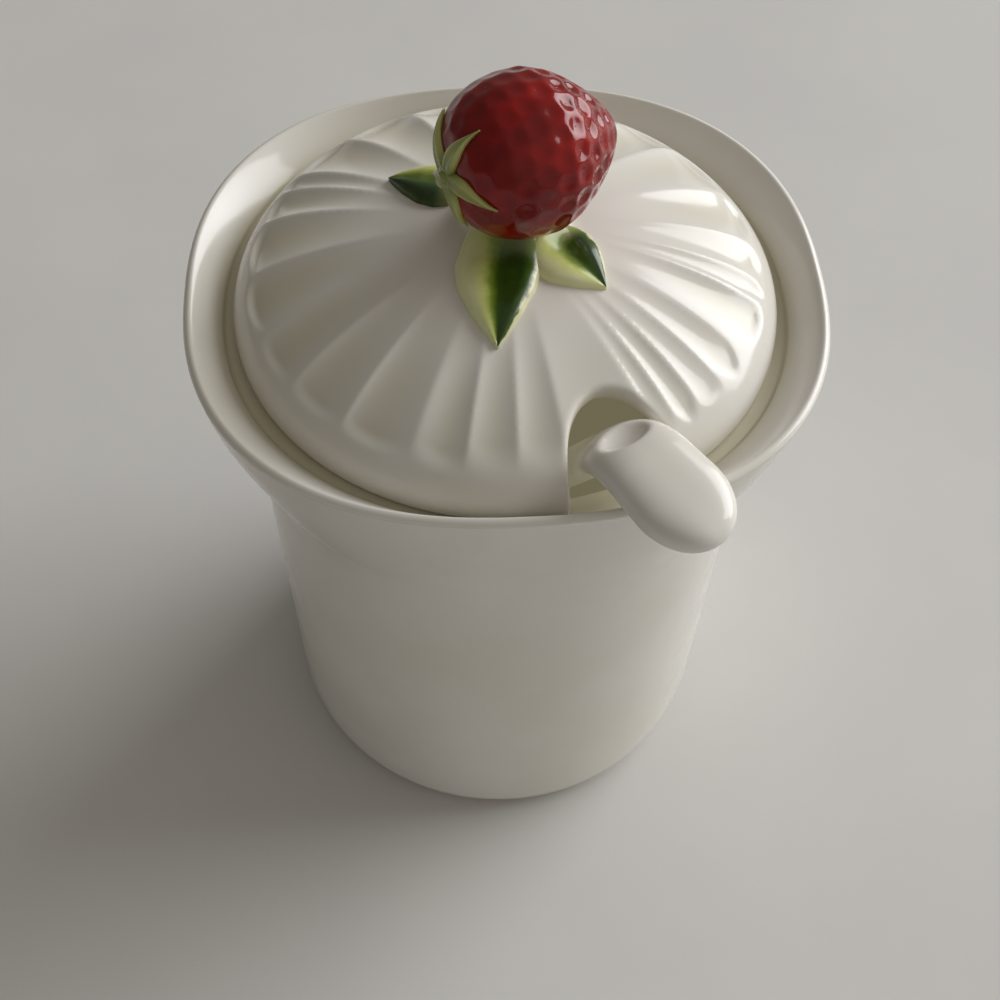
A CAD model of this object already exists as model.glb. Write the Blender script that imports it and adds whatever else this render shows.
from math import cos, pi, radians, sin, sqrt, tan

import bpy
import numpy as np
from mathutils import Matrix, Vector


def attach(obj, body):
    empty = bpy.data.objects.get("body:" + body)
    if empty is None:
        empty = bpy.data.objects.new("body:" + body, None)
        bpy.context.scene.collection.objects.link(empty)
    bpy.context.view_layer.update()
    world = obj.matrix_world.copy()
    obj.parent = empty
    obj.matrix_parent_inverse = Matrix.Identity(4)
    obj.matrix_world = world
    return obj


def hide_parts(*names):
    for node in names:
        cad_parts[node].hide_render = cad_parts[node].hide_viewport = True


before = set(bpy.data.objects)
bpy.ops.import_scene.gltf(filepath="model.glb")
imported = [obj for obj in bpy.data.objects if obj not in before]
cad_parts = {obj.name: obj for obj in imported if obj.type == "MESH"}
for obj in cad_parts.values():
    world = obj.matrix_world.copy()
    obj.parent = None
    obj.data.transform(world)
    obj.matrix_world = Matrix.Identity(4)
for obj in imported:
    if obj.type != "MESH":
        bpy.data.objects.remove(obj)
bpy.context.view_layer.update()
scene = bpy.context.scene
millimetre = 0.001   # shapes below are written in millimetres, meshes are in metres


# Small helpers

def smoothMin(a, b, blend):
    share = np.clip(0.5 + 0.5 * (b - a) / blend, 0, 1)
    return b + (a - b) * share - blend * share * (1 - share)


def smoothMax(a, b, blend):
    return -smoothMin(-a, -b, blend)


def fade(low, high, value):
    share = np.clip((value - low) / (high - low), 0, 1)
    return share * share * (3 - 2 * share)


def cubic(t, a, b, c, d):
    # a Bezier curve from a to d
    return (1 - t) ** 3 * a + 3 * t * (1 - t) ** 2 * b + 3 * t ** 2 * (1 - t) * c + t ** 3 * d


def direction(azimuth):
    return np.array([cos(radians(azimuth)), sin(radians(azimuth)), 0.0])


def quarterTurn(count):
    return [pi / 2 * step / count for step in range(count + 1)]


def fullTurn(count):
    return np.linspace(0, 2 * pi, count, endpoint=False)


def ovalDistance(across, up, halfWidth, halfHeight):
    # about the distance to an ellipse, negative inside
    reach = np.sqrt((across / halfWidth) ** 2 + (up / halfHeight) ** 2)
    slope = np.sqrt((across / halfWidth ** 2) ** 2 + (up / halfHeight ** 2) ** 2) / np.maximum(reach, 1e-6)
    return (reach - 1) / np.maximum(slope, 0.3 / max(halfWidth, halfHeight))


def domeDistance(radius, up, halfWidth, height):
    # an ellipse above its widest line, a straight wall below it
    return np.where(up > 0, ovalDistance(radius, up, halfWidth, height), radius - halfWidth)


def meshFrom(name, points, faces, **values):
    # the values are kept on the points, for the glaze or the node tree
    mesh = bpy.data.meshes.new(name)
    mesh.vertices.add(len(points))
    mesh.vertices.foreach_set("co", (np.asarray(points) * millimetre).astype(np.float32).ravel())
    loops = np.concatenate([np.asarray(face, np.int32) for face in faces])
    totals = np.array([len(face) for face in faces], np.int32)
    mesh.loops.add(len(loops))
    mesh.loops.foreach_set("vertex_index", loops)
    mesh.polygons.add(len(totals))
    mesh.polygons.foreach_set("loop_start", (np.cumsum(totals) - totals).astype(np.int32))
    mesh.polygons.foreach_set("loop_total", totals)
    mesh.update(calc_edges=True)
    mesh.validate()
    mesh.shade_smooth()
    for key, numbers in values.items():
        layer = mesh.attributes.new(key, "FLOAT", "POINT")
        layer.data.foreach_set("value", np.asarray(numbers, np.float32))
    return mesh


def addPiece(name, mesh, body, node, material):
    piece = bpy.data.objects.new(name, mesh)
    scene.collection.objects.link(piece)
    mesh.materials.clear()
    mesh.materials.append(material)
    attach(piece, body)
    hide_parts(node)
    print("piece", name, len(mesh.vertices), "points", len(mesh.polygons), "faces")
    return piece


def turnedFaces(rings, around, start=0):
    # quads between closed rings of points, and one flat face to close each end
    step = np.arange(around)
    nextStep = (step + 1) % around
    faces = []
    for ring in range(rings - 1):
        a = start + ring * around
        b = a + around
        faces += np.stack([a + step, a + nextStep, b + nextStep, b + step], -1).tolist()
    last = start + (rings - 1) * around
    faces.append(list(range(start, start + around))[::-1])
    faces.append(list(range(last, last + around)))
    return faces


# Moulding: an even skin of quads over a shape that a field describes, negative inside

moulding = {
    "slopeStep": 0.05, "leastSlope": 0.05, "longestMove": 0.7, "settleRounds": 3, "relaxRounds": 4, "relaxSettle": 2,
}


def slopeOf(field, points):
    step = moulding["slopeStep"]
    columns = []
    for axis in range(3):
        shift = np.zeros(3)
        shift[axis] = step
        columns.append((field(points + shift) - field(points - shift)) / (2 * step))
    return np.stack(columns, -1)


def settle(field, points, cell, rounds):
    # slide points onto the surface where the field is zero
    for _ in range(rounds):
        slope = slopeOf(field, points)
        steepness = np.maximum((slope ** 2).sum(-1, keepdims=True), moulding["leastSlope"])
        move = field(points)[:, None] * slope / steepness
        length = np.linalg.norm(move, axis=-1, keepdims=True)
        points = points - move * np.minimum(1, moulding["longestMove"] * cell / np.maximum(length, 1e-9))
    return points


def relax(points, quads):
    # move each point half way to the middle of its neighbours
    total = np.zeros_like(points)
    count = np.zeros(len(points))
    for corner in range(4):
        for step in (1, 3):
            np.add.at(total, quads[:, corner], points[quads[:, (corner + step) % 4]])
            np.add.at(count, quads[:, corner], 1)
    return 0.5 * points + 0.5 * total / np.maximum(count, 1)[:, None]


def fillDiagonals(inside):
    # where only two opposite corners of a grid square are inside, a third joins them, so that the skin stays closed
    for axis in (0, 1, 2, 0, 1, 2):
        sheet = np.moveaxis(inside, axis, 0)
        a, b, c, d = sheet[:, :-1, :-1], sheet[:, 1:, 1:], sheet[:, 1:, :-1], sheet[:, :-1, 1:]
        rising, falling = a & b & ~c & ~d, c & d & ~a & ~b
        c |= rising
        a |= falling


def mouldSkin(field, low, high, cell):
    low = np.asarray(low, float)
    counts = np.ceil((np.asarray(high, float) - low) / cell).astype(int) + 1
    axes = [low[axis] + cell * np.arange(counts[axis]) for axis in range(3)]
    y, z = np.meshgrid(axes[1], axes[2], indexing="ij")
    inside = np.zeros(counts, bool)
    for layer, x in enumerate(axes[0]):
        spots = np.stack([np.full(y.size, x), y.ravel(), z.ravel()], -1)
        inside[layer] = (field(spots) < 0).reshape(y.shape)
    fillDiagonals(inside)
    # one point in each grid cell that the surface crosses
    total = np.zeros(counts - 1, int)
    for i in (0, 1):
        for j in (0, 1):
            for k in (0, 1):
                total += inside[i:counts[0] - 1 + i, j:counts[1] - 1 + j, k:counts[2] - 1 + k]
    crossed = (total > 0) & (total < 8)
    number = np.full(crossed.shape, -1)
    number[crossed] = np.arange(crossed.sum())
    points = low + (np.argwhere(crossed) + 0.5) * cell
    # one quad round each grid edge that the surface crosses
    quads = []
    for axis in range(3):
        first = np.moveaxis(inside, axis, 0)
        cells = np.moveaxis(number, axis, 0)
        change = first[1:, 1:-1, 1:-1] != first[:-1, 1:-1, 1:-1]
        i, j, k = np.nonzero(change)
        around = np.stack([cells[i, j, k], cells[i, j + 1, k], cells[i, j + 1, k + 1], cells[i, j, k + 1]], -1)
        leaving = first[:-1, 1:-1, 1:-1][i, j, k]
        if axis == 1:
            leaving = ~leaving   # moving the axis to the front swaps the turn
        around[~leaving] = around[~leaving][:, ::-1]
        quads.append(around)
    quads = np.concatenate(quads)
    points = settle(field, points, cell, moulding["settleRounds"])
    for _ in range(moulding["relaxRounds"]):
        points = settle(field, relax(points, quads), cell, moulding["relaxSettle"])
    return settle(field, points, cell, moulding["settleRounds"]), quads


# Node maths: a socket that can be used in sums, and the one method that adds a node

class Wire:
    def __init__(self, tree, socket=None):
        self.tree = tree
        self.socket = socket

    def make(self, kind, settings=None, sockets=None, out=0):
        node = self.tree.nodes.new(kind)
        for key, value in (settings or {}).items():
            if key == "stops":
                ramp = node.color_ramp.elements
                while len(ramp) < len(value):
                    ramp.new(0.5)
                for element, (place, tone) in zip(ramp, value):
                    element.position = place
                    element.color = tone
            else:
                setattr(node, key, value)
        for key, value in (sockets or {}).items():
            if isinstance(value, Wire):
                self.tree.links.new(value.socket, node.inputs[key])
            else:
                node.inputs[key].default_value = value
        return Wire(self.tree, node.outputs[out]) if len(node.outputs) else node

    def other(self, name):
        # another output of the same node
        return Wire(self.tree, self.socket.node.outputs[name])

    def sum(self, operation, other, swapped=False):
        pair = (other, self) if swapped else (self, other)
        return self.make("ShaderNodeMath", {"operation": operation}, {0: pair[0], 1: pair[1]})

    def __add__(self, other): return self.sum("ADD", other)
    def __radd__(self, other): return self.sum("ADD", other, True)
    def __sub__(self, other): return self.sum("SUBTRACT", other)
    def __rsub__(self, other): return self.sum("SUBTRACT", other, True)
    def __mul__(self, other): return self.sum("MULTIPLY", other)
    def __rmul__(self, other): return self.sum("MULTIPLY", other, True)
    def __truediv__(self, other): return self.sum("DIVIDE", other)
    def __rtruediv__(self, other): return self.sum("DIVIDE", other, True)
    def __pow__(self, other): return self.sum("POWER", other)

    def between(self, low, high, start=0.0, end=1.0):
        limits = {"From Min": low, "From Max": high, "To Min": start, "To Max": end, "Value": self}
        return self.make("ShaderNodeMapRange", {"interpolation_type": "SMOOTHSTEP"}, limits)

    def tint(self, first, second):
        # colour between two, by this value; the colour sockets of a Mix node are 6 and 7, and its colour output is 2
        return self.make("ShaderNodeMix", {"data_type": "RGBA"}, {0: self, 6: first, 7: second}, 2)

    def times(self, length):
        # this vector, made longer or shorter
        return self.make("ShaderNodeVectorMath", {"operation": "SCALE"}, {0: self, "Scale": length})


def colour(red, green, blue):
    # a colour as it looks on a screen, 0 to 255, as Blender's linear light
    shares = [value / 255 for value in (red, green, blue)]
    return tuple(v / 12.92 if v <= 0.04045 else ((v + 0.055) / 1.055) ** 2.4 for v in shares) + (1.0,)


# Glazes

usualNoise = (0.3, 0.7)   # most values of a noise texture lie between these
relief = {"depth": 0.0006, "fineShare": 0.2}


def startMaterial(name):
    # a material, the start of its wires, and the place on the object
    material = bpy.data.materials.new(name)
    material.use_nodes = True
    material.node_tree.nodes.clear()
    start = Wire(material.node_tree)
    return material, start, start.make("ShaderNodeTexCoord", out="Object")


def noiseOf(start, place, scale, detail=2.0, roughness=0.5):
    sizes = {"Vector": place, "Scale": scale, "Detail": detail, "Roughness": roughness}
    return start.make("ShaderNodeTexNoise", None, sizes)


def attributeOf(start, name):
    return start.make("ShaderNodeAttribute", {"attribute_name": name}, out="Fac")


def finishGlaze(start, place, look, baseColour, sheen, extra=None):
    # the faint unevenness of a fired glaze, then its gloss
    waves = noiseOf(start, place, look["rippleScale"], 1.0)
    waves = waves + relief["fineShare"] * noiseOf(start, place, look["fineScale"], 0.0)
    ripple = {"Strength": look["ripple"], "Distance": relief["depth"], "Height": waves}
    glaze = {"IOR": look["ior"], "Coat Roughness": look["coatRoughness"], "Coat Weight": look["coat"],
             "Base Color": baseColour, "Roughness": sheen.between(*usualNoise, *look["roughness"]),
             "Normal": start.make("ShaderNodeBump", None, ripple)}
    shader = start.make("ShaderNodeBsdfPrincipled", None, {**glaze, **(extra or {})})
    start.make("ShaderNodeOutputMaterial", None, {"Surface": shader})


whiteLook = {
    "white": colour(229, 226, 219), "cream": colour(206, 200, 174), "clay": colour(224, 220, 210),
    "cloudScale": 35.0, "cloudRange": (0.35, 0.7), "sheenScale": 140.0, "glow": (0.105, 0.101, 0.075, 1),
    "ior": 1.42, "coat": 0.15, "coatRoughness": 0.05, "roughness": (0.12, 0.2),
    "ripple": 0.03, "rippleScale": 70.0, "fineScale": 240.0,
}


def whiteGlaze():
    # white glaze that turns cream where it pools; inside, a little light comes through the thin wall
    material, start, place = startMaterial("whiteGlaze")
    cloud = noiseOf(start, place, whiteLook["cloudScale"], 3.0).between(*whiteLook["cloudRange"])
    body = cloud.tint(whiteLook["white"], whiteLook["clay"])
    base = attributeOf(start, "pool").between(0.0, 1.0).tint(body, whiteLook["cream"])
    through = attributeOf(start, "inner").tint((0, 0, 0, 1), whiteLook["glow"])
    extra = {"Emission Color": through, "Emission Strength": 1.0}
    finishGlaze(start, place, whiteLook, base, noiseOf(start, place, whiteLook["sheenScale"]), extra)
    material.cycles.emission_sampling = "NONE"   # the glow lights nothing else
    return material


redLook = {
    "red": colour(144, 12, 9), "deep": colour(108, 7, 7), "fleck": colour(150, 62, 36),
    "mottleScale": 170.0, "pitRange": (0.1, 0.9), "pitShare": 0.3,
    "fleckScale": 420.0, "fleckRange": (0.72, 0.78), "fleckShare": 0.5,
    "ior": 1.36, "coat": 0.2, "coatRoughness": 0.03, "roughness": (0.1, 0.17),
    "ripple": 0.05, "rippleScale": 140.0, "fineScale": 500.0,
}


def redGlaze():
    # deep red, thicker and darker in the pits, with a few tan flecks
    material, start, place = startMaterial("redGlaze")
    mottle = noiseOf(start, place, redLook["mottleScale"], 3.0, 0.6)
    base = mottle.between(*usualNoise).tint(redLook["deep"], redLook["red"])
    pit = attributeOf(start, "pit").between(*redLook["pitRange"]) * redLook["pitShare"]
    base = pit.tint(base, redLook["deep"])
    fleck = noiseOf(start, place, redLook["fleckScale"], 1.0).between(*redLook["fleckRange"]) * redLook["fleckShare"]
    base = fleck.tint(base, redLook["fleck"])
    finishGlaze(start, place, redLook, base, mottle)
    return material


greenLook = {
    "pale": colour(234, 238, 184), "light": colour(197, 205, 120), "mid": colour(116, 136, 46),
    "dark": colour(58, 86, 24), "deep": colour(34, 55, 15), "edge": colour(212, 211, 172),
    # tones across a leaf, from the rim of its light side to the rim of its dark side
    "tones": (("pale", 0.12), ("light", 0.32), ("mid", 0.44), ("dark", 0.54), ("deep", 0.78), ("dark", 0.91),
              ("edge", 0.95)),
    "wanderScale": 300.0, "wanderShare": 0.16, "brushScale": 900.0, "brushShare": 0.06,
    "leafRoot": (0.02, 0.3, 0.5, 0.0), "sepalRoot": (0.1, 0.5, 0.8, 0.0),   # start, end and strength at each
    "sepal": colour(184, 188, 116), "vein": colour(142, 152, 74), "hub": colour(112, 128, 52),
    "sepalScale": 380.0, "veinWidth": 0.5, "veinShare": 0.5, "sepalShare": 0.45, "sepalRange": (0.15, 0.9),
    "ior": 1.42, "coat": 0.2, "coatRoughness": 0.04, "roughness": (0.15, 0.25),
    "ripple": 0.04, "rippleScale": 160.0, "fineScale": 520.0,
}


def leafGlaze():
    # brushed light on one side of the rib and dark on the other, short of the dark side's rim
    material, start, place = startMaterial("leafGlaze")
    wander = noiseOf(start, place, greenLook["wanderScale"])
    brush = noiseOf(start, place, greenLook["brushScale"])
    stray = greenLook["wanderShare"] * (wander - 0.5) + greenLook["brushShare"] * (brush - 0.5)
    half = attributeOf(start, "across") * 0.5 + 0.5 + stray
    stops = [(stop, greenLook[tone]) for tone, stop in greenLook["tones"]]
    base = start.make("ShaderNodeValToRGB", {"stops": stops}, {"Fac": half})
    root = attributeOf(start, "along").between(*greenLook["leafRoot"])
    finishGlaze(start, place, greenLook, root.tint(base, greenLook["light"]), brush)
    return material


def sepalGlaze():
    # light green, darker along the middle and at the stalk
    material, start, place = startMaterial("sepalGlaze")
    across = attributeOf(start, "across")
    wander = noiseOf(start, place, greenLook["sepalScale"])
    middle = 1 - (across * across).between(0.0, greenLook["veinWidth"])
    shade = middle * greenLook["veinShare"] + greenLook["sepalShare"] * wander
    base = shade.between(*greenLook["sepalRange"]).tint(greenLook["sepal"], greenLook["vein"])
    root = attributeOf(start, "along").between(*greenLook["sepalRoot"])
    finishGlaze(start, place, greenLook, root.tint(base, greenLook["hub"]), wander)
    return material


glazes = {"white": whiteGlaze(), "red": redGlaze(), "leaf": leafGlaze(), "sepal": sepalGlaze()}
print("glazes", sorted(glazes))


# Pot: rings of points from under the foot, up the outside, over the lip and down inside

pot = {
    "height": 107.0, "baseRadius": 40.3, "bodyRadius": 42.0, "wall": 3.2, "baseRounding": 5.0, "floor": 4.0,
    "floorRounding": 5.0, "collarHeight": 29.0, "sideFullness": 1.8, "frontFullness": 1.3, "collarSoftness": 3.5,
    "rimWall": 3.2, "rimHalfDepth": 46.5, "rimHalfWidth": 49.7, "rimSquareness": 2.4, "lipRounding": 1.1,
    "lipCurve": ((0.32, 0.22), (0.34, 0.3)),   # how far in and down, then out and up, the roll of the lip is drawn
    "galleryRadius": 43.0, "channelSpread": 0.35, "seat": 101.4, "openingRadius": 38.8, "ledge": 2.4,
    "cornerRounding": 0.8, "poleRadius": 0.4, "around": 240,
    "rows": {"foot": 8, "footTurn": 8, "body": 24, "collar": 44, "lip": 7, "roll": 18, "corner": 4, "inside": 24,
             "floorTurn": 6, "floor": 7},
    "footPool": 0.5, "lipPool": 0.7, "insidePool": 0.8, "edgeGlow": 0.4, "insideGlow": 0.6,
}


def rimReach(angles, inset):
    power = pot["rimSquareness"]
    across = np.abs(np.cos(angles)) / (pot["rimHalfWidth"] - inset)
    along = np.abs(np.sin(angles)) / (pot["rimHalfDepth"] - inset)
    return (across ** power + along ** power) ** (-1 / power)


def outerReach(angles, height):
    # round body below, opening into the soft-square collar, which starts more gently at the front and back
    base = pot["height"] - pot["collarHeight"]
    body = pot["baseRadius"] + (pot["bodyRadius"] - pot["baseRadius"]) * min(height / base, 1)
    rise = (height - base) / pot["collarHeight"]
    soft = pot["collarSoftness"] / pot["collarHeight"]
    rise = max(0.0, rise) if abs(rise) > soft else (rise + soft) ** 2 / (4 * soft)
    sides = 1 - (1 - rise) ** pot["sideFullness"]
    front = rise ** pot["frontFullness"]
    share = front + (sides - front) * np.cos(angles) ** 2
    return body + (rimReach(angles, 0) - body) * share


def makePot():
    angles = fullTurn(pot["around"])
    even = np.ones_like(angles)
    rows, pooled, glow = pot["rows"], pot["insidePool"], pot["insideGlow"]
    rings = []   # reach from the axis, height, pool of glaze, how much light comes through

    def ring(reach, height, pool=0.0, inner=0.0):
        rings.append((reach * even, height, pool, inner))

    # foot, body, collar and lip
    turn, lip = pot["baseRounding"], pot["lipRounding"]
    for reach in np.linspace(pot["poleRadius"], pot["baseRadius"] - turn, rows["foot"])[:-1]:
        ring(reach, 0.0, pot["footPool"])
    for angle in quarterTurn(rows["footTurn"]):
        ring(pot["baseRadius"] - turn + turn * sin(angle), turn - turn * cos(angle))
    collarStart = pot["height"] - pot["collarHeight"] - pot["collarSoftness"]
    for height in np.linspace(turn, collarStart, rows["body"])[1:]:
        ring(outerReach(angles, height), height)
    for height in np.linspace(collarStart, pot["height"] - lip, rows["collar"])[1:]:
        ring(outerReach(angles, height), height)
    top = outerReach(angles, pot["height"])
    for angle in quarterTurn(rows["lip"])[1:]:
        ring(top - lip * (1 - cos(angle)), pot["height"] - lip + lip * sin(angle))
    # inside, the lip rolls down in one curve to the ledge that carries the lid
    corner, seat = pot["cornerRounding"], pot["seat"]
    crest = top - lip
    low = pot["galleryRadius"] + (rimReach(angles, pot["rimWall"]) - pot["galleryRadius"]) * pot["channelSpread"]
    foot = seat + corner
    drop = pot["height"] - foot
    (inward, downward), (outward, upward) = pot["lipCurve"]
    for t in np.linspace(0, 1, rows["roll"])[1:]:
        reach = cubic(t, crest, crest - inward * (crest - low), low + outward * (crest - low), low)
        height = cubic(t, pot["height"], pot["height"] - downward * drop, foot + upward * drop, foot)
        ring(reach, height, pot["lipPool"] * t ** 3)
    for angle in quarterTurn(rows["corner"])[1:]:
        ring(low - corner * (1 - cos(angle)), seat + corner * (1 - sin(angle)), pooled)
    # the ledge, the wall inside and the floor
    opening = pot["openingRadius"]
    ring(opening + pot["ledge"], seat, pooled)
    for angle in quarterTurn(rows["corner"]):
        ring(opening + corner * (1 - sin(angle)), seat - corner * (1 - cos(angle)), pooled, pot["edgeGlow"])
    inside = pot["baseRadius"] - pot["wall"]
    turn = pot["floorRounding"]
    for height in np.linspace(seat - corner, pot["floor"] + turn, rows["inside"])[1:]:
        share = (height - pot["floor"]) / (seat - pot["floor"])
        ring(inside + (opening - inside) * share, height, pooled, glow)
    for angle in quarterTurn(rows["floorTurn"])[1:]:
        ring(inside - turn + turn * cos(angle), pot["floor"] + turn - turn * sin(angle), pooled, glow)
    for reach in np.linspace(inside - turn, pot["poleRadius"], rows["floor"])[1:]:
        ring(reach, pot["floor"], pooled, glow)
    reaches, levels, pools, inners = zip(*rings)
    points = [np.stack([reach * np.cos(angles), reach * np.sin(angles), level * even], -1)
              for reach, level in zip(reaches, levels)]
    mesh = meshFrom("pot", np.concatenate(points), turnedFaces(len(rings), pot["around"]),
                    pool=np.repeat(pools, pot["around"]), inner=np.repeat(inners, pot["around"]))
    return addPiece("potBody", mesh, "pot", "pot", glazes["white"])


makePot()


# Lid: a domed shell, gathered into uneven pleats, with the neck of the knob and the notch for the spoon

lid = {
    "radius": 42.5, "wall": 3.3, "edge": 102.9, "seat": 101.4, "dome": 15.5, "edgeRounding": 1.0, "shellBlend": 0.4,
    "neckRadius": 6.3, "neckBlend": 5.2, "neckTop": 132.0, "neckSink": 0.5, "cell": 0.46, "margin": 1.2,
    "pleatStart": 12.5, "pleatFull": 35.0, "pleatEnd": 40.2, "ridgeSoftness": 0.10,
    "notchAzimuth": -69.3, "notchHalfWidth": 8.5, "notchTop": 30.4, "notchArch": 15.0, "notchTilt": 45.0,
    "notchRounding": 0.8,
    "groovePool": 0.65, "neckPool": 0.7, "neckPoolFade": (6.5, 12.0), "innerShare": 0.7, "glow": 0.3,
    # azimuth of each ridge, then of the scoop after it: depth, which way it leans, how round and how soft its end is
    "ridges": [
        (-179.5, 1.05, 0.80, 0.14, 1.7), (-161.0, 0.90, 0.80, 0.08, 2.0), (-146.0, 0.80, 0.75, 0.06, 2.3),
        (-130.4, 0.80, 0.70, 0.06, 2.6), (-113.9, 0.65, 1.20, 0.08, 3.2), (-102.0, 0.55, 1.00, 0.10, 4.5),
        (-91.0, 0.50, 1.00, 0.10, 5.0), (-80.5, 0.40, 1.00, 0.10, 6.0), (-60.0, 0.32, 1.00, 0.60, 3.0),
        (-54.5, 0.50, 1.00, 0.90, 2.6), (-47.5, 0.38, 1.00, 0.12, 2.8), (-39.5, 0.52, 1.00, 0.90, 2.4),
        (-29.5, 0.80, 1.60, 0.10, 2.2), (-14.0, 0.45, 1.00, 0.90, 2.4), (-7.0, 0.48, 1.00, 0.15, 2.2),
        (5.0, 0.70, 1.00, 0.16, 2.0), (22.4, 0.80, 1.15, 0.14, 1.8), (41.8, 0.85, 0.90, 0.14, 1.7),
        (57.0, 0.95, 1.00, 0.16, 1.6), (74.0, 0.95, 0.85, 0.14, 1.6), (92.0, 1.00, 1.10, 0.14, 1.6),
        (111.0, 1.05, 0.90, 0.14, 1.6), (128.8, 1.00, 0.90, 0.14, 1.6), (145.2, 0.70, 1.00, 0.20, 1.6),
        (152.0, 0.90, 0.90, 0.16, 1.6), (163.0, 1.05, 0.80, 0.14, 1.6),
    ],
}
crown = lid["edge"] + lid["dome"]


def domeHeight(radius):
    return lid["edge"] + lid["dome"] * np.sqrt(np.maximum(1 - (radius / lid["radius"]) ** 2, 0))


def underDome(radius, up):
    # distance from the hollow under the lid
    return domeDistance(radius, up, lid["radius"] - lid["wall"], lid["dome"] - lid["wall"])


def pleatDepth(points):
    # hollow scoops that deepen outwards and stop short at the plain band, with a thin ridge between each two
    radius = np.hypot(points[:, 0], points[:, 1])
    azimuth = np.degrees(np.arctan2(points[:, 1], points[:, 0]))
    ridges, depths, leans, roundness, softness = np.array(lid["ridges"]).T
    place = np.searchsorted(ridges, azimuth) - 1
    start = ridges[place]
    width = (ridges[(place + 1) % len(ridges)] - start) % 360
    share = (((azimuth - start) % 360) / width) ** leans[place]
    middle = 2 * np.clip(share, 0, 1) - 1
    scoop = 1 - middle ** 2
    scoop = np.sqrt(scoop ** 2 + lid["ridgeSoftness"] ** 2) - lid["ridgeSoftness"]
    end = lid["pleatEnd"] * (1 - roundness[place] * np.radians(width) / 2 * middle ** 2)
    reach = fade(lid["pleatStart"], lid["pleatFull"], radius) * (1 - fade(end - softness[place], end, radius))
    return depths[place] * scoop * reach


def notchDistance(points):
    # cut straight down, under an arch drawn on the dome
    out = direction(lid["notchAzimuth"])
    along = points[:, 0] * out[0] + points[:, 1] * out[1]
    across = -points[:, 0] * out[1] + points[:, 1] * out[0]
    tilt = radians(lid["notchTilt"])
    top = float(domeHeight(lid["notchTop"]))
    height = domeHeight(np.hypot(points[:, 0], points[:, 1]))
    up = -(along - lid["notchTop"]) * sin(tilt) + (height - top) * cos(tilt) + lid["notchArch"]
    return domeDistance(np.abs(across), up, lid["notchHalfWidth"], lid["notchArch"])


def lidField(points):
    radius = np.hypot(points[:, 0], points[:, 1])
    up = points[:, 2] - lid["edge"]
    outer = domeDistance(radius, up, lid["radius"], lid["dome"]) + pleatDepth(points)
    shell = smoothMax(outer, -underDome(radius, up), lid["shellBlend"])
    shell = smoothMax(shell, lid["seat"] - points[:, 2], lid["edgeRounding"])
    neck = np.maximum(radius - lid["neckRadius"], points[:, 2] - lid["neckTop"])
    neck = np.maximum(neck, crown - lid["neckSink"] - points[:, 2])
    body = smoothMin(shell, neck, lid["neckBlend"])
    return smoothMax(body, -notchDistance(points), lid["notchRounding"])


def makeLid():
    reach = lid["radius"] + lid["margin"]
    low = (-reach, -reach, lid["seat"] - lid["margin"])
    high = (reach, reach, lid["neckTop"] + lid["margin"])
    points, quads = mouldSkin(lidField, low, high, lid["cell"])
    radius = np.hypot(points[:, 0], points[:, 1])
    inner = 1 - fade(0.0, lid["wall"] * lid["innerShare"], underDome(radius, points[:, 2] - lid["edge"]))
    groove = lid["groovePool"] * np.clip(pleatDepth(points), 0, 1)
    foot = lid["neckPool"] * (1 - fade(*lid["neckPoolFade"], radius))
    pool = np.maximum(np.maximum(groove, foot), inner)
    mesh = meshFrom("lid", points, quads, pool=pool, inner=lid["glow"] * inner)
    return addPiece("lidDome", mesh, "lid", "lid", glazes["white"])


makeLid()


# Strawberry: a turned berry, pitted and seeded by one node tree

berry = {
    "length": 28.0, "radius": 11.9, "shoulder": 5.0, "snub": 3.5, "leafyLength": 13.0, "leafyFullness": 2.4,
    "azimuth": 205.3, "rise": 4.0, "place": (2.8, -0.2), "lift": 14.0, "around": 216, "along": 128, "poleRadius": 0.1,
    "pitSpacing": 3.35, "rowSpacing": 2.95, "jitter": 0.22, "seed": 7, "outlineSteps": 900,
    "pitsFade": (-5.0, 5.0), "pitsLost": 0.65, "bowlPower": 1.6,
}
pits = {
    "Pit Radius": 0.00175, "Pit Depth": 0.00046, "Seed Length": 0.0005, "Seed Width": 0.0003, "Seed Sink": 0.0002,
}
berryRise = radians(berry["rise"])
berryAxis = direction(berry["azimuth"]) * cos(berryRise) + np.array([0, 0, sin(berryRise)])
berrySide = np.array([sin(radians(berry["azimuth"])), -cos(radians(berry["azimuth"])), 0.0])
berryDown = np.cross(berryAxis, berrySide)
berryCentre = np.array([*berry["place"], crown + berry["lift"]])


def berryOutline(count):
    # from the tip to the leafy end: distance along the axis and reach from it
    half = berry["length"] / 2
    reach = berry["radius"]
    t = np.linspace(1, 0, count // 2, endpoint=False)
    tipAlong = -cubic(t, 0, berry["shoulder"], half, half)
    tipReach = cubic(t, reach, reach, berry["snub"], 0)
    angle = np.linspace(0, pi / 2, count - count // 2)
    power = 2 / berry["leafyFullness"]
    leafyAlong = berry["leafyLength"] * np.sin(angle) ** power
    leafyReach = reach * np.maximum(np.cos(angle), 0) ** power
    return np.concatenate([tipAlong, leafyAlong]), np.concatenate([tipReach, leafyReach])


def leafyEnd(away):
    # distance along the axis of the skin at the leafy end
    share = np.clip(away / berry["radius"], 0, 0.995)
    return berry["leafyLength"] * (1 - share ** berry["leafyFullness"]) ** (1 / berry["leafyFullness"])


def berryRing(along, reach, angles):
    spokes = np.cos(angles)[:, None] * berrySide + np.sin(angles)[:, None] * berryDown
    return berryCentre + along * berryAxis + reach * spokes


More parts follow.
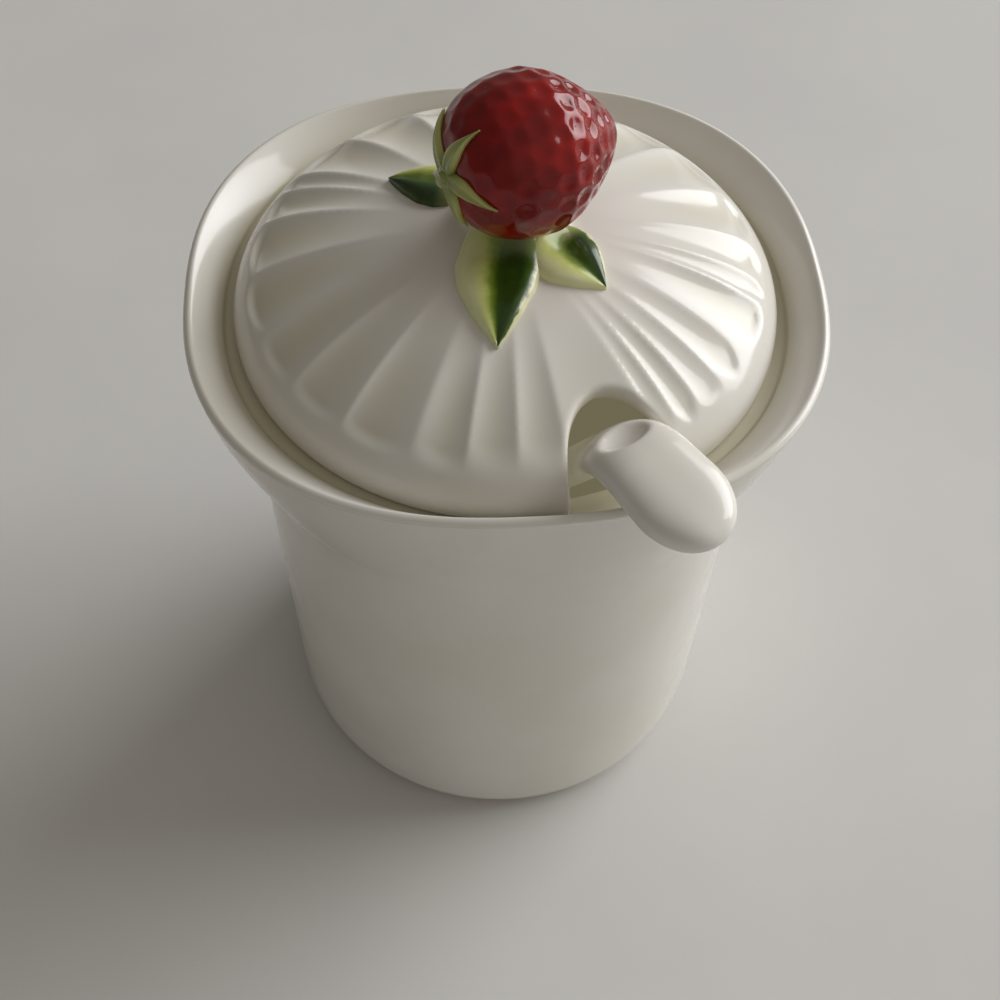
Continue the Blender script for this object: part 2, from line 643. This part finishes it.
def pitSpots():
    # staggered rows of places for the pits, each a little off its row
    along, reach = berryOutline(berry["outlineSteps"])
    run = np.concatenate([[0], np.cumsum(np.hypot(np.diff(along), np.diff(reach)))])
    draw = np.random.default_rng(berry["seed"])
    rows = int(run[-1] / berry["rowSpacing"])
    spots = []
    for row in range(rows):
        at = run[-1] * (row + 0.5) / rows
        around = max(1, round(2 * pi * float(np.interp(at, run, reach)) / berry["pitSpacing"]))
        for step in range(around):
            shift = draw.uniform(-1, 1, 2) * berry["jitter"]
            place = float(np.interp(at + shift[0], run, along)), float(np.interp(at + shift[0], run, reach))
            angle = 2 * pi * (step + 0.5 * (row % 2)) / around + shift[1] / max(place[1], 1.0)
            spots.append(berryRing(*place, np.array([angle]))[0])
    return np.array(spots)


def berryMesh():
    along, reach = berryOutline(berry["along"])
    angles = fullTurn(berry["around"])
    skin = np.concatenate([berryRing(x, max(r, berry["poleRadius"]), angles) for x, r in zip(along, reach)])
    spots = pitSpots()
    pressed = 1 - berry["pitsLost"] * fade(*berry["pitsFade"], along)   # the pits fade out towards the leaves
    return meshFrom("strawberry", np.concatenate([skin, spots]), turnedFaces(len(along), berry["around"]),
                    spot=np.concatenate([np.zeros(len(skin)), np.ones(len(spots))]),
                    pressed=np.concatenate([np.repeat(pressed, berry["around"]), np.ones(len(spots))]))


def pitTree(material):
    tree = bpy.data.node_groups.new("pitsAndSeeds", "GeometryNodeTree")
    face = tree.interface
    face.new_socket("Geometry", in_out="INPUT", socket_type="NodeSocketGeometry")
    for key in pits:
        face.new_socket(key, in_out="INPUT", socket_type="NodeSocketFloat")
    face.new_socket("Geometry", in_out="OUTPUT", socket_type="NodeSocketGeometry")
    start = Wire(tree)

    def named(name):
        return start.make("GeometryNodeInputNamedAttribute", {"data_type": "FLOAT"}, {"Name": name}, "Attribute")

    given = start.make("NodeGroupInput", out="Geometry")
    parts = start.make("GeometryNodeSeparateGeometry", {"domain": "POINT"},
                       {"Geometry": given, "Selection": named("spot")}, "Selection")
    skin = parts.other("Inverted")
    spots = start.make("GeometryNodeMeshToPoints", None, {"Mesh": parts})
    # each pit is a shallow bowl round its spot
    near = start.make("GeometryNodeProximity", {"target_element": "POINTS"}, {"Geometry": spots}, "Distance")
    share = (near / given.other("Pit Radius")).sum("MINIMUM", 1.0)
    bowl = (1.0 - share ** 2.0) ** berry["bowlPower"]
    depth = bowl * named("pressed") * given.other("Pit Depth")
    normal = start.make("GeometryNodeInputNormal")
    noted = start.make("GeometryNodeStoreNamedAttribute", {"data_type": "FLOAT", "domain": "POINT"},
                       {"Geometry": skin, "Name": "pit", "Value": bowl}, "Geometry")
    pitted = start.make("GeometryNodeSetPosition", None, {"Geometry": noted, "Offset": normal.times(depth * -1.0)})
    # one seed in the bottom of each
    facing = start.make("GeometryNodeSampleNearestSurface", {"data_type": "FLOAT_VECTOR"},
                        {"Mesh": skin, "Value": normal}, "Value")
    turn = start.make("FunctionNodeAlignRotationToVector", {"axis": "Z"}, {"Vector": facing})
    pip = start.make("GeometryNodeMeshIcoSphere", None, {"Radius": 1.0, "Subdivisions": 2}, "Mesh")
    width = given.other("Seed Width")
    size = start.make("ShaderNodeCombineXYZ", None, {"X": given.other("Seed Length"), "Y": width, "Z": width})
    seeds = start.make("GeometryNodeInstanceOnPoints", None,
                       {"Points": spots, "Instance": pip, "Rotation": turn, "Scale": size}, "Instances")
    sink = (given.other("Pit Depth") + given.other("Seed Sink")) * -1.0
    sunk = start.make("GeometryNodeSetPosition", None, {"Geometry": seeds, "Offset": facing.times(sink)})
    both = start.make("GeometryNodeJoinGeometry", None, {"Geometry": pitted})
    tree.links.new(sunk.socket, both.socket.node.inputs["Geometry"])
    real = start.make("GeometryNodeRealizeInstances", None, {"Geometry": both})
    smooth = start.make("GeometryNodeSetShadeSmooth", None, {"Geometry": real})
    painted = start.make("GeometryNodeSetMaterial", None, {"Geometry": smooth, "Material": material})
    start.make("NodeGroupOutput", None, {"Geometry": painted})
    return tree


def makeStrawberry():
    tree = pitTree(glazes["red"])
    blank = bpy.data.objects.new("strawberryBlank", berryMesh())
    scene.collection.objects.link(blank)
    modifier = blank.modifiers.new("pits", "NODES")
    modifier.node_group = tree
    for item in tree.interface.items_tree:
        if item.in_out == "INPUT" and item.name in pits:
            modifier[item.identifier] = pits[item.name]
    graph = bpy.context.evaluated_depsgraph_get()
    mesh = bpy.data.meshes.new_from_object(blank.evaluated_get(graph))
    mesh.name = "strawberrySkin"
    blank.modifiers.remove(modifier)
    bpy.data.objects.remove(blank)
    return addPiece("strawberryKnob", mesh, "lid", "strawberry", glazes["red"])


makeStrawberry()


# Leaves and sepals: closed blades that follow a surface

def bladeFaces(rows, columns, start=0):
    # the top, the underside and a strip along each of the four edges
    faces = []
    side = rows * columns
    for row in range(rows - 1):
        for column in range(columns - 1):
            a = start + row * columns + column
            faces.append([a, a + columns, a + columns + 1, a + 1])
            faces.append([side + a, side + a + 1, side + a + columns + 1, side + a + columns])
    for row in range(rows - 1):
        a = start + row * columns
        b = a + columns - 1
        faces.append([a, side + a, side + a + columns, a + columns])
        faces.append([b + columns, side + b + columns, side + b, b])
    for column in range(columns - 1):
        a = start + column
        b = a + (rows - 1) * columns
        faces.append([a + 1, side + a + 1, side + a, a])
        faces.append([b, side + b, side + b + 1, b + 1])
    return faces


leaves = {
    "thickness": 1.75, "sink": 1.0, "rows": 48, "columns": 35, "neckReach": 10.4, "neckRun": 4.1, "neckRise": 2.6,
    "toothDepth": 0.012, "toothCount": 9, "lobe": 0.1, "groove": 0.2, "grooveWidth": 0.2, "endShare": 0.72,
    "tipThinning": 0.55, "rimWidth": 0.03,
    "leafFront": {"node": "leaf_front", "base": (-0.6, -3.2), "tip": (-2.8, -22.5), "width": 12.6, "bend": -0.8,
                  "paint": 1.0},
    "leafRight": {"node": "leaf_right", "base": (6.0, -3.8), "tip": (13.6, -12.6), "width": 11.2, "bend": -0.4,
                  "paint": 1.0},
    "leafLeft": {"node": "leaf_left", "base": (-6.2, 8.3), "tip": (-17.6, 12.6), "width": 9.4, "bend": 0.3,
                 "paint": 0.78},
}


def leafHalf(u):
    # broad at the base, widest a third of the way along, drawn out to the tip
    return (0.6 * (1 - u) ** 6 + np.sin(pi * u ** 0.66) ** 0.9) / 1.05


def makeLeaf(name):
    look = leaves[name]
    rows, columns = leaves["rows"], leaves["columns"]
    u, v = np.meshgrid(np.linspace(0, 1, rows), np.sin(pi / 2 * np.linspace(-1, 1, columns)), indexing="ij")
    base, tip = np.array(look["base"]), np.array(look["tip"])
    run = tip - base
    across = np.array([-run[1], run[0]]) / np.linalg.norm(run)
    teeth = 1 + leaves["toothDepth"] * np.sin(leaves["toothCount"] * pi * u) * np.abs(v) ** 4   # a slightly uneven rim
    half = leafHalf(u) * teeth * look["width"] / 2 + leaves["rimWidth"]
    plan = base + u[..., None] * run + (v * half + look["bend"] * np.sin(pi * u))[..., None] * across
    # the lid's dome and the cove of its neck, then the leaf's own thickness on them
    radius = np.hypot(plan[..., 0], plan[..., 1])
    cove = np.clip((leaves["neckReach"] - radius) / leaves["neckRun"], 0, 1.2)
    ground = domeHeight(radius) + leaves["neckRise"] * cove ** 2
    rounded = np.sqrt(np.maximum(1 - v ** 6, 0))
    lobes = 1 - leaves["lobe"] + leaves["lobe"] * np.sin(pi * v) ** 2
    groove = leaves["groove"] * np.exp(-(v / leaves["grooveWidth"]) ** 2) * (1 - 0.8 * u) * fade(0.05, 0.4, u)
    ends = leaves["endShare"] + (1 - leaves["endShare"]) * np.sin(pi * u)
    lift = leaves["thickness"] * rounded * (lobes - groove) * ends * (1 - leaves["tipThinning"] * u ** 6)
    skins = [np.concatenate([plan, level[..., None]], -1).reshape(-1, 3)
             for level in (ground + lift, ground - leaves["sink"])]
    mesh = meshFrom(name, np.concatenate(skins), bladeFaces(rows, columns),
                    across=np.tile(v.ravel(), 2) * look["paint"], along=np.tile(u.ravel(), 2))
    return addPiece(name, mesh, "lid", look["node"], glazes["leaf"])


for leafName in ("leafFront", "leafRight", "leafLeft"):
    makeLeaf(leafName)

calyx = {
    "sepals": [(35.0, 8.6), (107.0, 8.2), (179.0, 8.8), (254.0, 8.9), (323.0, 8.8)],   # turn about the stalk, length
    "width": 3.2, "rimWidth": 0.03, "bend": 0.6, "start": 0.04, "rows": 28, "columns": 11, "around": 28,
    "thickness": 0.8, "groove": 0.22, "grooveWidth": 0.22, "tipLift": 0.35, "sink": 0.6, "tipSink": 0.75,
    "hubRadius": 1.9, "hubHeight": 0.8, "stalkRadius": 0.95, "hubAcross": 0.6, "hubAlong": 0.2,
}


def makeCalyx():
    points, faces = [], []
    rows, columns = calyx["rows"], calyx["columns"]
    u, v = np.meshgrid(np.linspace(calyx["start"], 1, rows), np.linspace(-1, 1, columns), indexing="ij")
    belly = 0.4 + 0.6 * np.sin(pi * np.minimum(u * 0.95 + 0.1, 1))
    width = calyx["width"] / 2 * belly * (1 - u ** 2) + calyx["rimWidth"]
    groove = calyx["groove"] * np.exp(-(v / calyx["grooveWidth"]) ** 2)
    raised = calyx["thickness"] * (np.sqrt(1 - 0.9 * v ** 4) - groove) * (1 - 0.85 * u ** 4)
    raised = raised + calyx["tipLift"] * u ** 3   # the tips stand a little off the berry
    sunk = calyx["sink"] - calyx["tipSink"] * u ** 3
    for turn, length in calyx["sepals"]:
        out = cos(radians(turn)) * berrySide + sin(radians(turn)) * berryDown
        side = -sin(radians(turn)) * berrySide + cos(radians(turn)) * berryDown
        a = u * length
        b = v * width + calyx["bend"] * np.sin(pi * u)
        away = np.hypot(a, b)
        x = leafyEnd(away)
        spot = berryCentre + x[..., None] * berryAxis + a[..., None] * out + b[..., None] * side
        fall = (leafyEnd(away - 0.05) - leafyEnd(away + 0.05)) / 0.1 / np.maximum(away, 0.05)
        lean = np.stack([np.ones_like(a), fall * a, fall * b], -1)
        lean /= np.linalg.norm(lean, axis=-1, keepdims=True)
        normal = lean[..., :1] * berryAxis + lean[..., 1:2] * out + lean[..., 2:] * side
        faces += bladeFaces(rows, columns, sum(len(part) for part in points))
        points.append((spot + normal * raised[..., None]).reshape(-1, 3))
        points.append((spot - normal * sunk[..., None]).reshape(-1, 3))
    # the hub and the stub of the stalk
    hub, stalk, half = calyx["hubRadius"], calyx["stalkRadius"], berry["leafyLength"]
    rise = half + calyx["hubHeight"]
    profile = [(hub * 0.9, half - 0.9), (hub, half - 0.3), (hub * 0.97, half + 0.35), (hub * 0.82, rise - 0.1),
               (hub * 0.62, rise), (stalk * 1.1, rise - 0.05), (stalk, rise + 0.25), (stalk * 0.8, rise + 0.5),
               (stalk * 0.35, rise + 0.55)]
    rings = np.concatenate([berryRing(x, reach, fullTurn(calyx["around"])) for reach, x in profile])
    faces += turnedFaces(len(profile), calyx["around"], sum(len(part) for part in points))
    skins = 2 * len(calyx["sepals"])
    mesh = meshFrom("calyx", np.concatenate([*points, rings]), faces,
                    across=np.append(np.tile(v.ravel(), skins), np.full(len(rings), calyx["hubAcross"])),
                    along=np.append(np.tile(u.ravel(), skins), np.full(len(rings), calyx["hubAlong"])))
    return addPiece("calyxStar", mesh, "lid", "calyx", glazes["sepal"])


makeCalyx()


# Spoon: bowl on the floor of the pot, stem through the notch, broad handle over the rim

spoon = {
    "azimuth": -54.9, "offset": -9.4, "clearance": 0.4, "lean": 32.0, "bendReach": 38.2, "bendRadius": 8.0,
    "fall": 5.7, "handleReach": 58.0, "handleThickness": 6.2, "handleEnd": 9.0, "handleWidth": 14.4,
    "bowlLength": 31.0, "bowlRound": 12.5, "bowlCut": 4.0, "bowlWall": 1.7, "bowlBlend": 0.9, "squareness": 2.7,
    # half width and half thickness at the foot, 20 mm up, half way, then before, in and after the bend
    "halfWidths": (4.4, 4.0, 4.1, 5.7, 6.5, 6.8), "halfThicknesses": (2.2, 2.4, 2.6, 2.8, 2.95, 3.05),
    "stemStart": 10.0, "stemBlend": 1.0, "joinBlend": 2.2, "tipWidth": 0.02,
    "thumb": (2.1, 4.9, 2.3), "thumbDepth": 1.5, "thumbLevel": 2.9, "thumbBlend": 0.35,
    "cell": 0.46, "margins": ((18, 14.0, 1), (1.5, 14.0, 6)), "poolShare": 0.5, "glow": 0.5, "openingGlow": 0.8,
    "insideFade": (-22, -6), "openingFade": ((-16, 0), (4, 8)),   # heights from the lid's seat
}
lean = radians(spoon["lean"])
fall = radians(spoon["fall"])
spoonOut = direction(spoon["azimuth"])
spoonSide = direction(spoon["azimuth"] + 90)
bendHeight = (pot["height"] + spoon["clearance"] + spoon["handleThickness"] / (2 * cos(fall))
              + (pot["rimHalfWidth"] - spoon["bendReach"]) * tan(fall))
bowlDrop = sqrt((spoon["bowlLength"] / 2 * cos(lean)) ** 2 + (spoon["bowlRound"] * sin(lean)) ** 2)
bowlHeight = pot["floor"] + spoon["clearance"] + bowlDrop
footHeight = bowlHeight - spoon["bowlCut"] * sin(lean)
footReach = spoon["bendReach"] - (bendHeight - footHeight) * tan(lean)
bowlReach = footReach - spoon["bowlCut"] * cos(lean)
turnAngle = pi / 2 - lean + fall
tangentRun = spoon["bendRadius"] * tan(turnAngle / 2)
stemLength = (bendHeight - footHeight) / cos(lean) - tangentRun
handleRun = (spoon["handleReach"] - spoon["bendReach"]) / cos(fall) - tangentRun
arcRun = spoon["bendRadius"] * turnAngle
spoonLength = stemLength + arcRun + handleRun


def spoonField(points):
    reach, side, height = points.T
    # distance along the centre line, and out from it, in the stem, in the bend and past it
    alongStem = (reach - footReach) * sin(lean) + (height - footHeight) * cos(lean)
    outStem = -(reach - footReach) * cos(lean) + (height - footHeight) * sin(lean)
    bend = spoon["bendRadius"]
    angle = np.arctan2(alongStem - stemLength, outStem + bend)
    inBend = (angle > 0) & (angle < turnAngle)
    past = (angle >= turnAngle) & (alongStem > stemLength - bend)
    outBend = np.hypot(alongStem - stemLength, outStem + bend) - bend
    alongHandle = ((reach - spoon["bendReach"]) * cos(fall) - (height - bendHeight) * sin(fall)) - tangentRun
    outHandle = (reach - spoon["bendReach"]) * sin(fall) + (height - bendHeight) * cos(fall)
    run = np.where(inBend, stemLength + bend * angle, np.minimum(alongStem, stemLength))
    run = np.where(past, stemLength + arcRun + alongHandle, run)
    out = np.where(past, outHandle, np.where(inBend, outBend, outStem))
    # the stem and handle, rounder below the bend and squarer past it, with a rounded end
    endStart = spoonLength - spoon["handleEnd"]
    keys = [0, 20, stemLength * 0.55, stemLength, stemLength + arcRun / 2, stemLength + arcRun, endStart]
    tip = np.clip((run - endStart) / spoon["handleEnd"], 0, 0.9999)
    halfWidth = np.interp(run, keys, [*spoon["halfWidths"], spoon["handleWidth"] / 2])
    halfThick = np.interp(run, keys, [*spoon["halfThicknesses"], spoon["handleThickness"] / 2])
    halfWidth = halfWidth * np.sqrt(1 - tip ** 2) + spoon["tipWidth"]
    halfThick = halfThick * np.sqrt(1 - tip ** 4) + spoon["tipWidth"]
    power = np.interp(run, [stemLength, stemLength + arcRun], [2.0, spoon["squareness"]])
    section = ((np.abs(side) / halfWidth) ** power + (np.abs(out) / halfThick) ** power) ** (1 / power)
    shank = (section - 1) * np.minimum(halfWidth, halfThick)
    shank = np.maximum(shank, run - (spoonLength - spoon["tipWidth"]))
    shank = smoothMax(shank, spoon["stemStart"] - alongStem, spoon["stemBlend"])
    # the bowl, cut off flat and hollowed
    bowlUp = outStem - spoon["bowlCut"]
    halfLength, roundness, wall = spoon["bowlLength"] / 2, spoon["bowlRound"], spoon["bowlWall"]
    ring = np.hypot(bowlUp, side)
    outer = ovalDistance(alongStem, ring, halfLength, roundness)
    inner = ovalDistance(alongStem, ring, halfLength - wall, roundness - wall)
    blank = smoothMax(outer, bowlUp + spoon["bowlCut"], spoon["bowlBlend"])
    whole = smoothMax(smoothMin(blank, shank, spoon["joinBlend"]), -inner, spoon["bowlBlend"])
    # the thumb's hollow on the bend
    longRadius, wideRadius, deepRadius = spoon["thumb"]
    thumbAlong = run - (stemLength + arcRun * 0.5)
    thumbOut = out - (spoon["thumbLevel"] + deepRadius - spoon["thumbDepth"])
    hollow = np.sqrt((thumbAlong / longRadius) ** 2 + (side / wideRadius) ** 2 + (thumbOut / deepRadius) ** 2)
    return smoothMax(whole, (1 - hollow) * deepRadius, spoon["thumbBlend"])


def makeSpoon():
    before, after = spoon["margins"]
    low = (bowlReach - before[0], -before[1], pot["floor"] - before[2])
    high = (spoon["handleReach"] + after[0], after[1], bendHeight + after[2])
    points, quads = mouldSkin(spoonField, low, high, spoon["cell"])
    placed = (points[:, :1] * spoonOut + (points[:, 1:2] + spoon["offset"]) * spoonSide
              + points[:, 2:] * np.array([0, 0, 1.0]))
    above = points[:, 2] - pot["seat"]
    inside = 1 - fade(*spoon["insideFade"], above)
    rising, falling = spoon["openingFade"]
    opening = fade(*rising, above) * (1 - fade(*falling, above))
    glow = np.maximum(spoon["glow"] * inside, spoon["openingGlow"] * opening)
    mesh = meshFrom("spoon", placed, quads, pool=spoon["poolShare"] * inside, inner=glow)
    return addPiece("spoonWhole", mesh, "spoon", "spoon", glazes["white"])


makeSpoon()


# Floor, light and camera

stageLook = {
    "floor": colour(216, 215, 212), "grain": colour(212, 211, 209), "grainScale": 18.0, "floorRoughness": 0.75,
    "floorSize": 24.0,
    "keyPlace": (2.06, 0.96, 1.12), "keyAim": (0, 0, 0.09), "keySize": (2.3, 1.7), "keyPower": 25.5,
    "keySpread": 105.0, "keyColour": (0.975, 0.985, 1.0),
    # a room that is brighter on the window's side
    "world": (0.97, 0.91, 0.82, 1), "roomPower": (0.15, 0.46), "roomRange": (-0.7, 1.0),
    "brightSide": (0.88, -0.12, 0.1),
}
view = {
    "place": (-13.45, -163.57, 275.71), "azimuth": 85.3, "pitch": 54.22, "roll": -1.56, "lens": 54.0, "sensor": 36.0,
    "clip": (0.01, 20.0),
}


def makeFloor():
    half = stageLook["floorSize"] / 2
    mesh = bpy.data.meshes.new("floor")
    mesh.from_pydata([(-half, -half, 0), (half, -half, 0), (half, half, 0), (-half, half, 0)], [], [(0, 1, 2, 3)])
    floor = bpy.data.objects.new("floor", mesh)
    scene.collection.objects.link(floor)
    material, start, place = startMaterial("floorPaper")
    grain = noiseOf(start, place, stageLook["grainScale"], 4.0).between(*usualNoise)
    paper = {"Base Color": grain.tint(stageLook["floor"], stageLook["grain"]), "Roughness": stageLook["floorRoughness"]}
    shader = start.make("ShaderNodeBsdfPrincipled", None, paper)
    start.make("ShaderNodeOutputMaterial", None, {"Surface": shader})
    mesh.materials.append(material)


def makeLight():
    lamp = bpy.data.lights.new("windowLight", "AREA")
    lamp.shape = "RECTANGLE"
    lamp.size, lamp.size_y = stageLook["keySize"]
    lamp.energy = stageLook["keyPower"]
    lamp.spread = radians(stageLook["keySpread"])
    lamp.color = stageLook["keyColour"]
    holder = bpy.data.objects.new("windowLight", lamp)
    holder.location = stageLook["keyPlace"]
    aim = Vector(stageLook["keyAim"]) - Vector(stageLook["keyPlace"])
    holder.rotation_euler = aim.to_track_quat("-Z", "Y").to_euler()
    scene.collection.objects.link(holder)
    world = bpy.data.worlds.new("softRoom")
    world.use_nodes = True
    world.node_tree.nodes.clear()
    start = Wire(world.node_tree)
    way = start.make("ShaderNodeTexCoord", out="Generated")
    facing = start.make("ShaderNodeVectorMath", {"operation": "DOT_PRODUCT"},
                        {0: way, 1: stageLook["brightSide"]}, "Value")
    power = facing.between(*stageLook["roomRange"], *stageLook["roomPower"])
    back = start.make("ShaderNodeBackground", None, {"Color": stageLook["world"], "Strength": power})
    start.make("ShaderNodeOutputWorld", None, {"Surface": back})
    scene.world = world


def makeCamera():
    turn, pitch, roll = radians(view["azimuth"]), radians(view["pitch"]), radians(view["roll"])
    ahead = Vector((cos(turn) * cos(pitch), sin(turn) * cos(pitch), -sin(pitch)))
    right = Vector((sin(turn), -cos(turn), 0))
    down = ahead.cross(right)
    rolledRight = right * cos(roll) + down * sin(roll)
    rolledDown = -right * sin(roll) + down * cos(roll)
    camera = bpy.data.cameras.new("photoView")
    camera.lens = view["lens"]
    camera.sensor_width = view["sensor"]
    camera.clip_start, camera.clip_end = view["clip"]
    holder = bpy.data.objects.new("photoView", camera)
    axes = Matrix((rolledRight, -rolledDown, -ahead)).transposed().to_4x4()
    holder.matrix_world = Matrix.Translation(Vector(view["place"]) * millimetre) @ axes
    scene.collection.objects.link(holder)
    scene.camera = holder


makeFloor()
makeLight()
makeCamera()
scene.view_settings.view_transform = "Standard"
print("stage, light and camera are set")
